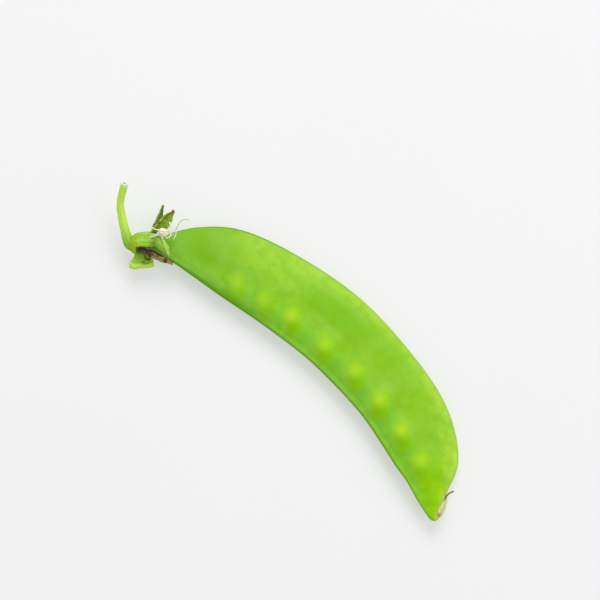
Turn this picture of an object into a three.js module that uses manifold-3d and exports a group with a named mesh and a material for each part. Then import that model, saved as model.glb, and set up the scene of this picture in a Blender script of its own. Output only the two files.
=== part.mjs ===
// Snow pea pod lying on its side: the pod, its calyx and cut stalk, the withered
// remains of the flower, and the dried style at the tip.
// Millimetres, +Z up. X runs from the stalk end to the tip, Y towards the rounded back edge.
// The origin is on the resting surface, under the middle of the whole object.
import * as THREE from 'three';
import { mergeVertices } from 'three/addons/utils/BufferGeometryUtils.js';
import Module from 'manifold-3d';

const wasm = await Module();
wasm.setup();

// ---- driving dimensions -------------------------------------------------
// Places are measured from the neck, where the pod leaves its calyx, and from the
// resting surface. The finished group is then moved so that its middle is over the origin.

const neckPlace = [-33.7, -5.8, 0];
const gap = 0.3; // kept between neighbouring pieces

// The middle line of the pod from the neck to the tip: x, y, and half the width there.
const middleLine = [
  [-5.3, -5.2, 1.05],
  [-1.5, -1.65, 2.25],
  [4.5, 2.8, 5.4],
  [12.4, 6.9, 7.75],
  [25.9, 10.75, 8.7],
  [40.05, 13.0, 9.0],
  [55.8, 12.65, 8.7],
  [66.4, 10.65, 8.4],
  [74.6, 7.1, 6.85],
  [79.7, 2.8, 3.62],
  [84.65, -0.55, 0.9],
];
const widestHalf = 9.0;
const halfThickness = 2.75; // at the widest part, without the peas
const thinning = 0.55; // how fast the thickness falls as the pod narrows
const lensPower = 0.75; // 0.5 gives an oval section, 1 a sharp-edged one
const seamRadius = 0.7; // the cord along the straight seam that bears the peas
const backRadius = 0.45; // the thinner ridge along the rounded back
const turnStep = 0.05; // the way across the pod turns no faster than over this share
const neckCap = 0.027; // share of the middle line that rounds off at the neck
const tipCap = 0.014; // and at the tip
const podSides = 40; // facets round the pod
const podSteps = 90; // and along it

const restHeight = 2.67; // the middle plane over the surface, where the pod lies
const neckLift = 1.9; // how far the neck end is bent up
const tipLift = 1.0; // and the tip
const bendPower = 5; // how close to the ends the two bends stay
const lean = 0.085; // the back edge lies lower than the seam, mm per mm

// The young peas: x and y of each, and how far it swells both faces.
const peas = [
  [16.9, 4.3, 0.35],
  [24.2, 6.4, 0.55],
  [30.5, 7.8, 0.75],
  [40.0, 8.6, 0.95],
  [48.9, 9.4, 1.0],
  [57.2, 8.8, 1.0],
  [65.5, 7.7, 0.95],
  [73.3, 6.1, 0.75],
];
const peaReach = 4.7; // from the middle of a pea to where the wall is flat again

// The calyx. A place in it is [along its axis, towards the back edge, up].
const calyxBase = [-6.18, -6.03, 4.55];
const calyxHeading = 42; // degrees from X
// Its cup from the foot to the mouth: place along the axis, and radius.
const cupOutside = [[-0.8, 0.6], [-0.3, 1.25], [0.4, 1.85], [1.3, 2.35], [2.3, 2.66], [4.1, 2.98]];
const cupWall = 0.65;
const cupFloor = 0.85; // where the hollow of the cup starts
const ribCount = 10;
const ribHeight = 0.1;
const tear = { from: 1.1, width: 2.9, angle: 130, inner: 0.9 }; // where the petal comes out
const bladeThickness = 0.65;
const bladeSides = 4; // strips across a blade
const bladeSteps = 14; // and along it

// Each sepal: its midrib from the cup outwards, the way across it at root and tip, its
// widths from root to tip, and how far its margins curl towards the inner face.
const sepals = [
  { // over the neck
    midrib: [[3.5, 0.9, 2.15], [5.5, 0.7, 2.6], [7.3, -0.5, 2.7], [8.8, -2.3, 2.4]],
    across: [[0, 1, 0.25], [0.4, 1, 0.1]],
    widths: [3.4, 3.0, 2.0, 0.7],
    curl: 0.5,
  },
  { // beside the back edge, with a brown tip
    midrib: [[3.5, 2.55, 0.7], [5.3, 4.3, 0.85], [7.1, 6.2, 1.2], [8.7, 7.8, 1.3]],
    across: [[0.7, -0.4, -0.55], [0.78, -0.63, -0.3]],
    widths: [2.4, 3.1, 2.6, 0.8],
    curl: 0.35,
  },
  { // bent straight out
    midrib: [[3.5, 2.0, -1.75], [4.7, 4.4, -1.9], [5.5, 6.8, -1.8], [6.1, 8.9, -1.1]],
    across: [[0.48, -0.15, -0.86], [0.57, -0.18, -0.76]],
    widths: [2.4, 2.4, 1.8, 0.7],
    curl: 0.3,
  },
  { // peeled open below the seam, its end rolled up
    midrib: [
      [1.5, -1.5, -1.6], [1.9, -2.7, -1.3], [2.2, -3.8, -1.2],
      [2.4, -4.7, -1.15], [2.45, -5.2, -0.75], [2.45, -5.05, -0.2],
    ],
    across: [[-1, -0.2, 0], [-1, -0.14, 0]],
    widths: [2.6, 3.6, 4.6, 5.2, 5.3, 5.2],
    curl: -0.3,
  },
  { // under the seam
    midrib: [[3.5, -1.4, -1.85], [5.6, -2.45, -2.35], [7.5, -3.4, -2.25], [9.0, -4.15, -1.7]],
    across: [[-0.45, -0.9, 0.45], [-0.45, -0.9, 0.25]],
    widths: [2.6, 2.2, 1.7, 0.7],
    curl: 0.25,
  },
];

// The cut stalk, from inside the foot of the calyx to its free end.
const stalkLine = [
  [-5.5, -6.2, 4.5],
  [-6.8, -6.45, 4.5],
  [-9.4, -5.2, 4.8],
  [-12.1, -3.5, 5.6],
  [-14.6, -1.3, 7.0],
  [-16.6, 2.1, 9.0],
];
const stalkRadii = [1.3, 1.28, 0.98, 0.9, 0.78, 0.84];

// The withered petal, the stamen sheath and its threads, as places in the calyx.
const petalMidrib = [[1.6, -1.15, 1.8], [4.3, -2.0, 1.9], [7.2, -3.0, 1.6], [9.3, -3.9, 1.15]];
const petalAcross = [[-0.37, -0.93, -0.46], [-0.37, -0.93, -0.19]];
const petalWidths = [0.8, 2.0, 1.8, 0.8];
const sheathMiddle = [6.8, 3.1, 3.35];
const sheathRadii = [1.1, 0.8, 0.65];
const threadRadius = 0.3;
const threads = [
  [[6.4, 2.6, 3.3], [7.2, 0.6, 3.7], [8.3, -1.6, 3.65], [9.4, -3.1, 3.3]],
  [[7.3, 3.3, 3.4], [8.3, 3.2, 3.6], [8.5, 2.2, 3.8], [7.8, 1.7, 3.9]],
  [[7.1, 2.9, 3.2], [9.0, 2.5, 2.7], [9.5, 3.9, 2.6], [10.4, 5.9, 2.7], [11.6, 6.4, 3.1], [12.4, 5.8, 3.5]],
  [[6.2, 3.2, 3.5], [5.1, 3.4, 3.8], [4.3, 3.8, 3.5], [4.1, 4.7, 3.0]],
];

// The dried style at the tip, and its radius at each end.
const styleLine = [[84.15, 1.05, 4.95], [83.2, 3.6, 5.4], [82.25, 5.3, 5.6], [82.6, 7.1, 5.5]];
const styleRadii = [0.42, 0.3];

// ---- tools --------------------------------------------------------------

// The value at a share of the way through an evenly spaced list.
function between(values, share) {
  const place = THREE.MathUtils.clamp(share, 0, 1) * (values.length - 1);
  const index = Math.min(Math.floor(place), values.length - 2);
  return THREE.MathUtils.lerp(values[index], values[index + 1], place - index);
}

function curveThrough(places) {
  const points = places.map((place) => new THREE.Vector3(...place));
  return new THREE.CatmullRomCurve3(points, false, 'catmullrom');
}

// Moves every corner of a closed geometry to the place that the rule gives for it.
function shaped(geometry, rule) {
  const corners = geometry.attributes.position;
  const corner = new THREE.Vector3();
  for (let i = 0; i < corners.count; i += 1) {
    corner.fromBufferAttribute(corners, i);
    const place = rule(corner);
    corners.setXYZ(i, place.x, place.y, place.z);
  }
  geometry.deleteAttribute('normal');
  geometry.deleteAttribute('uv');
  return mergeVertices(geometry);
}

function solidFrom(geometry) {
  return new wasm.Manifold(new wasm.Mesh({
    numProp: 3,
    vertProperties: new Float32Array(geometry.attributes.position.array),
    triVerts: new Uint32Array(geometry.index.array),
  }));
}

function geometryFrom(solid) {
  const mesh = solid.getMesh();
  const geometry = new THREE.BufferGeometry();
  geometry.setAttribute('position', new THREE.BufferAttribute(mesh.vertProperties, 3));
  geometry.setIndex(new THREE.BufferAttribute(mesh.triVerts, 1));
  return geometry;
}

// A round bar along a curve, its radii listed from one end to the other.
function bar(curve, radii, sides, steps) {
  const frames = curve.computeFrenetFrames(steps, false);
  return shaped(new THREE.CylinderGeometry(1, 1, 1, sides, steps), (corner) => {
    const share = corner.y + 0.5;
    const step = Math.round(share * steps);
    const radius = between(radii, share);
    return curve.getPointAt(share)
      .addScaledVector(frames.normals[step], corner.x * radius)
      .addScaledVector(frames.binormals[step], -corner.z * radius);
  });
}

// A thin blade along a midrib curve, as wide as the list says from root to tip.
function blade(curve, across, widths, curl) {
  return shaped(new THREE.BoxGeometry(1, 1, 1, bladeSides, bladeSteps, 1), (corner) => {
    const share = corner.y + 0.5;
    const along = curve.getTangent(share);
    const sideways = across[0].clone().lerp(across[1], share);
    sideways.addScaledVector(along, -sideways.dot(along)).normalize();
    const inner = new THREE.Vector3().crossVectors(sideways, along);
    const bend = curl * (2 * corner.x) ** 2 * (1 - share ** 3);
    return curve.getPoint(share)
      .addScaledVector(sideways, corner.x * between(widths, share))
      .addScaledVector(inner, bend + corner.z * bladeThickness);
  });
}

// ---- the pod ------------------------------------------------------------

const podLine = curveThrough(middleLine);

// Rounds the two ends off: 0 at the very end, 1 over the rest of the length.
function endRounding(share) {
  const neck = Math.min(share / neckCap, 1);
  const tip = Math.min((1 - share) / tipCap, 1);
  return Math.sqrt((1 - (1 - neck) ** 2) * (1 - (1 - tip) ** 2));
}

// Half the height of a round cord of this radius, at a distance in from its edge.
function cordHeight(distance, radius) {
  return Math.sqrt(Math.max(radius ** 2 - (distance - radius) ** 2, 0));
}

// Half the thickness of the wall, across the pod from -1 at the seam to 1 at the back.
function wallHeight(half, across) {
  const lens = halfThickness * (half / widestHalf) ** thinning;
  const body = lens * (1 - across ** 2) ** lensPower;
  const seam = cordHeight((1 + across) * half, Math.min(seamRadius, 0.8 * half));
  const back = cordHeight((1 - across) * half, Math.min(backRadius, 0.6 * half));
  return (body ** 4 + seam ** 4 + back ** 4) ** 0.25;
}

// The way the middle line runs, taken between two places on it, so that it turns gently.
function podForward(share) {
  const ahead = podLine.getPoint(Math.min(share + turnStep, 1));
  const behind = podLine.getPoint(Math.max(share - turnStep, 0));
  return ahead.sub(behind).setZ(0).normalize();
}

function peaHeight(x, y) {
  let height = 0;
  for (const [peaX, peaY, rise] of peas) {
    const reach = Math.min(Math.hypot(x - peaX, y - peaY) / peaReach, 1);
    height += rise * (1 - reach ** 2) ** 2;
  }
  return height;
}

// A point of the pod's skin, at a share of the length and an angle round the section, which
// is 0 at the back edge, a quarter turn on top, a half turn at the seam and below 0 underneath.
function podSkin(share, angle) {
  const middle = podLine.getPoint(share);
  const forward = podForward(share);
  const rounding = endRounding(share);
  const half = Math.max(middle.z, 0.1);
  const across = Math.cos(angle);
  const x = middle.x - forward.y * across * half * rounding;
  const y = middle.y + forward.x * across * half * rounding;
  const rise = rounding * wallHeight(half, across) + (1 - across ** 8) * peaHeight(x, y);
  const plane = restHeight + neckLift * (1 - share) ** bendPower + tipLift * share ** bendPower;
  const z = plane - lean * across * half * rounding + Math.sign(angle) * rise;
  return new THREE.Vector3(x, y, Math.max(z, 0));
}

function podGeometry() {
  return shaped(new THREE.SphereGeometry(1, podSides, podSteps), (corner) => {
    const share = Math.acos(THREE.MathUtils.clamp(corner.y, -1, 1)) / Math.PI;
    return podSkin(share, Math.atan2(corner.z, corner.x));
  });
}

// ---- the calyx and the stalk --------------------------------------------

const heading = THREE.MathUtils.degToRad(calyxHeading);
const calyxAlong = new THREE.Vector3(Math.cos(heading), Math.sin(heading), 0);
const calyxBack = new THREE.Vector3(-Math.sin(heading), Math.cos(heading), 0);
const up = new THREE.Vector3(0, 0, 1);

function calyxDirection([a, b, c]) {
  return new THREE.Vector3().addScaledVector(calyxAlong, a).addScaledVector(calyxBack, b)
    .addScaledVector(up, c);
}

function fromCalyx(place) {
  return new THREE.Vector3(...calyxBase).add(calyxDirection(place));
}

function calyxCurve(places) {
  return curveThrough(places.map((place) => fromCalyx(place).toArray()));
}

function calyxBlade(midrib, across, widths, curl) {
  return solidFrom(blade(calyxCurve(midrib), across.map(calyxDirection), widths, curl));
}

// A solid turned about the calyx's axis from [radius, place along the axis], with ribs.
function turned(profile) {
  const points = profile.map(([radius, along]) => new THREE.Vector2(radius, along));
  const mouthRadius = cupOutside.at(-1)[1];
  return solidFrom(shaped(new THREE.LatheGeometry(points, 4 * ribCount), (corner) => {
    const angle = Math.atan2(corner.x, corner.z);
    const radius = Math.hypot(corner.x, corner.z);
    const rib = 1 + ribHeight * Math.cos(ribCount * angle) * radius / mouthRadius ** 2;
    return fromCalyx([corner.y, corner.z * rib, corner.x * rib]);
  }));
}

function cupSolid() {
  const outside = cupOutside.map(([along, radius]) => [radius, along]);
  const hollow = cupOutside.filter(([along]) => along > cupFloor).reverse();
  const inside = hollow.map(([along, radius]) => [radius - cupWall, along]);
  return turned([[0, cupOutside[0][0]], ...outside, ...inside, [0, cupFloor]]);
}

// The foot of the cup grown by the gap, which trims the end of the stalk.
function grownFoot() {
  const outside = cupOutside.map(([along, radius]) => [radius + gap, along - gap]);
  return turned([[0, outside[0][1]], ...outside, [0, outside.at(-1)[1]]]);
}

// The wedge that is torn out of the cup.
function tearSolid() {
  const angle = THREE.MathUtils.degToRad(tear.angle);
  const reach = cupOutside.at(-1)[1];
  return solidFrom(shaped(new THREE.BoxGeometry(2 * reach, tear.width, reach), (corner) => {
    const out = corner.z + reach / 2 + tear.inner;
    const back = out * Math.cos(angle) + corner.y * Math.sin(angle);
    const high = out * Math.sin(angle) - corner.y * Math.cos(angle);
    return fromCalyx([corner.x + reach + tear.from, back, high]);
  }));
}

function calyxGeometry() {
  let calyx = cupSolid().subtract(tearSolid());
  for (const { midrib, across, widths, curl } of sepals) {
    calyx = calyx.add(calyxBlade(midrib, across, widths, curl));
  }
  return geometryFrom(calyx);
}

function stalkGeometry() {
  const stalk = solidFrom(bar(curveThrough(stalkLine), stalkRadii, 16, 26));
  return geometryFrom(stalk.subtract(grownFoot()));
}

// ---- what is left of the flower -----------------------------------------

function petalGeometry() {
  return geometryFrom(calyxBlade(petalMidrib, petalAcross, petalWidths, 0.3));
}

function stamenGeometry() {
  const [long, wide, high] = sheathRadii;
  const sheath = shaped(new THREE.SphereGeometry(1, 14, 9), (corner) => {
    const [along, back, height] = sheathMiddle;
    return fromCalyx([along + corner.y * long, back + corner.z * wide, height + corner.x * high]);
  });
  let stamens = solidFrom(sheath);
  for (const places of threads) {
    stamens = stamens.add(solidFrom(bar(calyxCurve(places), [threadRadius, threadRadius], 6, 14)));
  }
  return geometryFrom(stamens);
}

function styleGeometry() {
  return bar(curveThrough(styleLine), styleRadii, 8, 14);
}

// ---- the object ---------------------------------------------------------

// Colour and roughness of each piece.
const skins = {
  pod: { color: 0x92c935, roughness: 0.42 },
  calyx: { color: 0xa2c261, roughness: 0.6 },
  pedicel: { color: 0xb3db52, roughness: 0.5 },
  stamens: { color: 0xe6e2cf, roughness: 0.75 },
  petal_remnant: { color: 0x8a6248, roughness: 0.8 },
  style: { color: 0xcbbf94, roughness: 0.75 },
};

const geometries = {
  pod: podGeometry(),
  calyx: calyxGeometry(),
  pedicel: stalkGeometry(),
  stamens: stamenGeometry(),
  petal_remnant: petalGeometry(),
  style: styleGeometry(),
};

const snowPeaPod = new THREE.Group();
snowPeaPod.name = 'snow_pea_pod';
snowPeaPod.position.set(...neckPlace);
for (const [name, geometry] of Object.entries(geometries)) {
  const mesh = new THREE.Mesh(geometry, new THREE.MeshStandardMaterial({ ...skins[name], metalness: 0 }));
  mesh.name = name;
  snowPeaPod.add(mesh);
}

export default snowPeaPod;
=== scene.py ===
"""A fresh snow pea pod lying on its side, with its calyx, cut stalk and withered flower.

The pieces are modelled in millimetres from the neck, where the pod leaves its calyx,
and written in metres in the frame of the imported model. X runs from the stalk end to
the tip, Y towards the rounded back edge, Z up from the surface that the pod lies on.
"""

import math

import bmesh
import bpy
from mathutils import Matrix, Vector, noise


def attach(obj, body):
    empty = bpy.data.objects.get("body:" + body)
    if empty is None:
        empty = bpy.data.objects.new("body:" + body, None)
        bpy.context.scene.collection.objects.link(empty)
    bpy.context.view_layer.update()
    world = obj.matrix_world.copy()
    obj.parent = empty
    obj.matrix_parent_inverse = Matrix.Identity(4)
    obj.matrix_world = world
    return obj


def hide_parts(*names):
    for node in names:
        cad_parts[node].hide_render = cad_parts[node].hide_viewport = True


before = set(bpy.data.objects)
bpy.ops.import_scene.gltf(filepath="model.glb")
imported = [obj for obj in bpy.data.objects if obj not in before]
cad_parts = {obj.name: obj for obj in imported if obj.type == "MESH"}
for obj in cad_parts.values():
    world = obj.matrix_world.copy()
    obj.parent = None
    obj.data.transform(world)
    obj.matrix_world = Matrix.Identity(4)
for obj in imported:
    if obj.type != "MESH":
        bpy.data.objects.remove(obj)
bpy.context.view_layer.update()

bl_info = {
    "name": "Snow Pea Pod",
    "version": (1, 0, 0),
    "blender": (4, 5, 0),
    "location": "View3D > Sidebar > Snow Pea",
    "description": "Builds a snow pea pod with its calyx, cut stalk and withered flower",
    "category": "Add Mesh",
}

MM = 0.001
MERGING = 0.001  # millimetres between vertices that become one
NODE_STEP = 190  # how far apart shader nodes are laid out

# ---- shapes, in millimetres ----------------------------------------------

NECK_PLACE = Vector((-33.7, -5.8, 0.0))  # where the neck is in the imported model

# The middle line of the pod from the neck to the tip: x, y, and half the width there.
POD_LINE = (
    (-5.3, -5.2, 1.05), (-1.5, -1.65, 2.25), (4.5, 2.8, 5.4), (12.4, 6.9, 7.75),
    (25.9, 10.75, 8.7), (40.05, 13.0, 9.0), (55.8, 12.65, 8.7), (66.4, 10.65, 8.4),
    (74.6, 7.1, 6.85), (79.7, 2.8, 3.62), (84.65, -0.55, 0.9),
)
POD_SIDES, POD_RINGS = 120, 560
WIDEST_HALF = 9.0
THINNING = 0.55  # how much the thickness follows the width
LENS_POWER = 0.75  # how full the section is
TURN_STEP = 0.05  # the way across the pod turns no faster than over this share
NECK_CAP, TIP_CAP = 0.027, 0.014  # shares of the length over which the ends round off
REST_HEIGHT = 2.67  # of the middle of the pod
SETTLING = 0.12  # how softly the pod flattens where it rests
NECK_LIFT, TIP_LIFT = 1.9, 1.0
BEND_POWER = 5  # how late along the pod its ends begin to lift
LEAN = 0.085  # the fall from the seam to the back
VALLEY = dict(depth=0.07, place=1.6, width=0.4, full_from=6)  # beside the seam cord
GROOVE_ANGLE = 0.13  # how far round from the seam its groove fades
DRIFT = ((1.0, 6, 7.0), (0.4, 9, 2.6))  # unevenness of the wall: share, layer and size

# The young peas: x, y, how far each swells both faces, and how strongly it shows through and takes
# its painted highlight and shade.
PEAS = (
    (16.9, 4.3, 0.35, 0.5), (23.8, 5.8, 0.55, 0.48), (30.5, 7.8, 0.75, 0.95),
    (40.0, 8.6, 0.95, 0.8), (48.9, 9.4, 1.0, 0.85), (57.2, 8.8, 1.0, 0.9),
    (65.5, 7.7, 0.95, 1.0), (73.3, 6.1, 0.75, 0.75),
)
PEA_MARKS = ("light", "rich", "pea_shade", "hollow")
PEA_REACH = 4.7  # how far out a swelling reaches
PEA_LONG, PEA_WIDE = 1.15, 0.92  # each swelling is a little longer than wide
PEA_UP = Vector((-0.719, 0.695))  # the way the long side of each pea points; its painted highlight lies up this way, its painted shade down it
PEA_HALF = (3.1, 1.85)  # the patch that a pea colours: half its length and half its width
PEA_LOW = 0.4  # how far below the middle of a pea that patch is centred
PEA_RAGGED = (0.22, 1.7)  # how uneven its rim is, and over what size
PEA_RICH = (1.4, 0.65)  # where, out from the middle, the yellow green begins and is full
PEA_SHADE = (1.3, 0.5)  # the same for the painted shade at the foot of a pea
PEA_FOOT = (0.1, -1.8)  # where, up the pea, the painted shade begins and is full
PEA_HIGHLIGHT = ((0.8, 1.35), (-0.4, 1.4))  # its painted highlight, the lightest spot, up and to the side: place, width
BETWEEN_SHADE_SHIFT = 1.8  # from the middle between two peas to the painted shade between them, towards the seam
BETWEEN_SHADE_SIZE = (2.0, 2.6)  # along the row of peas and across it
FULL_RISE = 0.75  # a swelling from which the painted shade beside it has its full colour

# The calyx has a frame of its own: X along it, Y towards the back of the pod, Z up.
CALYX_BASE = Vector((-6.18, -6.03, 4.55))
CALYX_TURN = Matrix.Rotation(math.radians(42), 3, "Z")

# The outside of the cup of the calyx: along its axis, and radius.
CUP_LINE = (
    (-0.8, 0.0), (-0.8, 0.7), (-0.35, 1.5), (0.35, 2.1), (1.3, 2.48), (2.3, 2.7), (3.5, 2.86),
)
CUP_ROWS = 28
FOOT_ROWS = 17  # rows of the cup below the torn gap
FOOT_ANGLES = (230, 106)  # the gap runs between these, in degrees round the cup
BLADE_ROWS, LOBE_STEPS = 46, 26  # rows along each sepal beyond the cup, steps across it
COARSE_RIBS, FINE_RIBS = 10, 28
FINE_RIB_RISE = 0.045
CUP_UNEVEN = (0.12, 1.5)  # how uneven the cup is, and over what size

MIDRIB = dict(width=0.07, rise=0.11)
SIDE_VEIN = dict(place=0.24, width=0.05, rise=0.04)
BLADE_SINK = 0.15  # how far the outer face of a blade lies below its midrib line
RAGGED_MARGIN = 0.1  # how much the width of a blade wanders
TEAR_WANDER = 7  # degrees that the torn side of the sepal over the neck wanders
RUN_ON = 2.6  # how far the line of the cup's wall runs on into a sepal
JOIN = 0.34  # the share of a blade over which it leaves that line
ROW_STEP, LOBE_WIDTH = 0.16, 3.4  # rough distance between rows, and width of a sepal

# Each sepal: the angles round the cup between which it grows, then its midrib, the way
# across it at root and tip, its widths, how far its margins curl, and its wear.
SEPALS = {
    "over_neck": dict(
        angles=(106, 38),
        midrib=((3.5, 0.9, 2.15), (5.5, 0.7, 2.6), (7.3, -0.5, 2.7), (8.8, -2.3, 2.4)),
        across=((0, 1, 0.25), (0.4, 1, 0.1)),
        widths=(3.4, 3.0, 1.9, 0.5), curl=0.5, wither=(0.0, 0.05, 0.1, 0.3), shade=0.0,
    ),
    "by_back": dict(
        angles=(38, -18),
        midrib=((3.6, 2.55, 0.7), (6.0, 4.15, 0.85), (7.5, 6.1, 1.2), (8.75, 7.8, 1.3)),
        across=((0.7, -0.4, -0.55), (0.78, -0.63, -0.3)),
        widths=(2.3, 2.8, 2.5, 0.8), curl=0.35, wither=(0.1, 0.18, 0.2, 0.4), shade=0.3,
        olive=0.3, dark_side=0.9,
    ),
    "bent_out": dict(
        angles=(-18, -72),
        midrib=((3.5, 2.0, -1.75), (4.7, 4.4, -1.9), (5.5, 6.8, -1.8), (6.1, 8.9, -1.1)),
        across=((0.48, -0.15, -0.86), (0.57, -0.18, -0.76)),
        widths=(2.4, 2.4, 1.7, 0.6), curl=0.3, wither=(0.1, 0.4, 0.3, 0.15), shade=0.75,
    ),
    "under_seam": dict(
        angles=(-72, -130),
        midrib=((3.5, -1.4, -1.85), (5.6, -2.3, -2.2), (7.5, -3.1, -2.0), (9.0, -3.7, -1.4)),
        across=((-0.45, -0.9, 0.45), (-0.45, -0.9, 0.25)),
        widths=(2.6, 2.2, 1.6, 0.6), curl=0.35, wither=(0.0, 0.05, 0.1, 0.4), shade=0.1,
    ),
}

# The flap is a sepal too, hinged along the cup. Past the share "roll" it rolls under.
FLAP = dict(
    midrib=((1.5, -1.4, -1.5), (1.9, -2.7, -1.25), (2.2, -3.8, -1.2), (2.4, -4.7, -1.15),
            (2.45, -5.2, -0.75), (2.45, -5.05, -0.2), (2.4, -4.55, -0.1), (2.4, -4.3, -0.5)),
    across=((-1, -0.2, 0), (-1, -0.14, 0)),
    widths=(2.6, 3.6, 4.6, 5.3, 5.5, 5.4, 5.2, 5.0), curl=-0.3, roll=0.42,
    hinge=-130, rows=44, folds=4.5, fold_rise=0.09, run_on=2.2,
    # Waves of its face: height, how fine across and along, layer, and where they begin.
    waves=((0.2, 3, 3, 11, 0.1), (0.16, 9, 4, 31, 0.25)),
    # Waves of its end: height, how fine, and layer, and how far its corners draw back.
    end=((0.45, 2.6, 21), (0.2, 10, 27)), corners=0.55,
)

STALK_LINE = (
    (-5.5, -6.2, 4.5), (-6.8, -6.45, 4.5), (-9.4, -5.2, 4.8), (-12.1, -3.5, 5.6),
    (-14.6, -1.3, 7.0), (-16.6, 2.1, 9.0),
)
STALK_RADII = (1.3, 1.28, 0.98, 0.9, 0.78, 0.84)
STALK_RIDGES = 5

PETAL = dict(
    midrib=((1.6, -1.0, 1.8), (4.3, -1.8, 1.9), (7.2, -3.0, 1.6), (9.3, -3.9, 1.15)),
    across=((-0.37, -0.93, -0.46), (-0.37, -0.93, -0.19)),
    widths=(0.8, 1.95, 1.35, 0.65), curl=0.3, wall=0.16,
    pleats=1.6, pleat_rise=0.16, crush_rise=0.26, ragged=0.16,
)

SHEATH_MIDDLE = Vector((6.8, 2.85, 3.35))
SHEATH_RADII = Vector((1.05, 0.75, 0.6))
SHEATH_FOLDS = Vector((0.7, 1.9, 1.9))  # how fine its folds are along each axis
ANTHER_LONG, ANTHER_WIDE = 0.32, 0.19

# The dried filaments: radius at root and tip, how green, whether an anther is left, places.
THREADS = (
    (0.17, 0.10, 0.9, False,
     ((6.3, 2.5, 3.3), (7.1, 0.6, 3.7), (7.9, -1.2, 3.65), (8.6, -2.4, 3.3))),
    (0.17, 0.13, 0.15, True,
     ((7.3, 3.3, 3.4), (8.3, 3.2, 3.6), (8.5, 2.2, 3.8), (7.8, 1.7, 3.9))),
    (0.12, 0.08, 0.9, False,
     ((7.1, 2.9, 3.2), (9.0, 2.5, 2.7), (9.6, 3.9, 2.6), (10.4, 5.5, 2.7),
      (11.5, 6.1, 3.1), (12.4, 5.8, 3.4))),
    (0.13, 0.10, 0.15, True, ((7.6, 3.2, 3.3), (8.2, 4.2, 3.2), (8.1, 5.0, 3.1))),
    (0.12, 0.09, 0.15, False,
     ((7.4, 2.7, 3.3), (8.7, 3.5, 3.1), (9.6, 2.9, 3.0), (9.2, 1.5, 3.2))),
    (0.15, 0.10, 0.15, False,
     ((6.2, 3.2, 3.5), (5.1, 3.4, 3.8), (4.3, 3.8, 3.5), (4.1, 4.7, 3.0))),
    (0.30, 0.24, 0.15, False,
     ((6.6, 2.9, 3.3), (5.6, 2.3, 3.3), (4.7, 1.9, 3.0), (3.9, 1.5, 2.3))),
)

STYLE_LINE = (
    (84.2, 0.35, 3.6), (84.05, 1.4, 4.6), (83.2, 3.6, 5.35), (82.25, 5.3, 5.6), (82.6, 7.1, 5.5),
)
# Half its width and half its thickness, from foot to end.
STYLE_BROAD = (0.42, 0.74, 0.74, 0.5, 0.34, 0.26)
STYLE_THIN = (0.26, 0.16, 0.14, 0.2, 0.2)
STYLE_TWIST = -0.7  # radians over its length
STYLE_OUTWARD = Vector((0.7, 0.72, 0))  # the side of the style that faces away from the pod
STYLE_STAIN = (1, 0.9, 0.5, 0.3, 0.2)  # how tan its middle is, from foot to end

# ---- tones and stage -----------------------------------------------------

# Tones of the pod's skin, each the product of eased masks: the mark that it reads, from,
# to, and the strengths there if not 0 and 1. Share runs from the neck to the tip, and
# across from -1 at the seam to 1 at the back.
POD_PATCHES = {
    "shaded": (("share", 0.4, 0.52, 0.0, 0.5), ("share", 0.68, 0.58), ("across", 0.0, 0.5)),
    # Painted light: the back lighter towards the tip and along its middle, and a lit patch before
    # the middle, where the skin faces the lamps.
    "painted_light_by_tip": (("share", 0.7, 0.8, 0.0, 0.9), ("across", 0.3, 0.8)),
    "painted_light_by_back": (("share", 0.36, 0.46, 0.0, 0.45), ("across", 0.7, 0.94)),
    "lit": (("share", 0.26, 0.34, 0.0, 0.28), ("share", 0.43, 0.37), ("across", -0.1, 0.35)),
    "by_neck": (("share", 0.42, 0.2, 0.0, 0.95), ("across", -0.6, 0.0, 0.45, 1.0)),
    "bloom_along": (("share", 0.0, 0.54, 0.6, 0.3),),
    "bloom_by_seam": (("across", -0.2, 0.4, 1.0, 0.5),),
    "bloom_past_neck": (("share", 0.3, 0.4),),
    "tip": (("share", 0.74, 0.86), ("across", -0.7, -0.2, 0.35, 1.0)),
    "ripe": (("share", 0.4, 0.45, 0.0, 0.65), ("share", 0.55, 0.49),
             ("across", -0.1, 0.15), ("across", 0.7, 0.5)),
    # The back rim: painted shade by the neck, a painted highlight further on.
    "rim": (("across", 0.93, 0.985, 0.0, 0.85),),
    # The seam cord darker as painted shade on its rounded edge, broader by the neck.
    "broad_cord_shade": (("across", -0.74, -0.92, 0.0, 0.9), ("share", 0.44, 0.34)),
    "cord": (("across", -0.9, -0.96),),
    # A painted light along the lowest edge of the seam cord, in the bloom colour.
    "lit_cord": (("across", -0.965, -0.99, 0.0, 0.5), ("share", 0.4, 0.5)),
    "scar": (("share", 0.962, 0.988, 0.0, 0.8), ("across", -0.5, 0.4)),
}
LEAF_DEPTH = (0.7, 1.0, 0.3)  # how far red, green and blue light go into green tissue
DRY_DEPTH = (1.0, 0.9, 0.7)  # the same in the dry stamens
STYLE_DEPTH = (1.0, 0.95, 0.7)

VIEW_MIDDLE = Vector((-5.14, 6.15, 2.67))
SENSOR = 36.0  # width of the camera's sensor
FLOOR_HALF = 2.5  # metres
# The lamps: metres to the right of the view, to its top and up, their size, and power.
LAMPS = {"key": (0.16, 0.92, 0.92, 0.72, 1.0), "side": (1.0, 0.0, 0.9, 1.0, 0.3)}


# ---- settings ------------------------------------------------------------

def paint(red, green, blue):
    """A display colour of 0 to 255 as the linear colour that a shader takes."""
    parts = (value / 255 for value in (red, green, blue))
    return tuple(p / 12.92 if p <= 0.04045 else ((p + 0.055) / 1.055) ** 2.4 for p in parts)


def colour(name, description, red, green, blue):
    return bpy.props.FloatVectorProperty(
        name=name, description=description, subtype="COLOR", size=3, min=0.0, max=1.0,
        default=paint(red, green, blue),
    )


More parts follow.
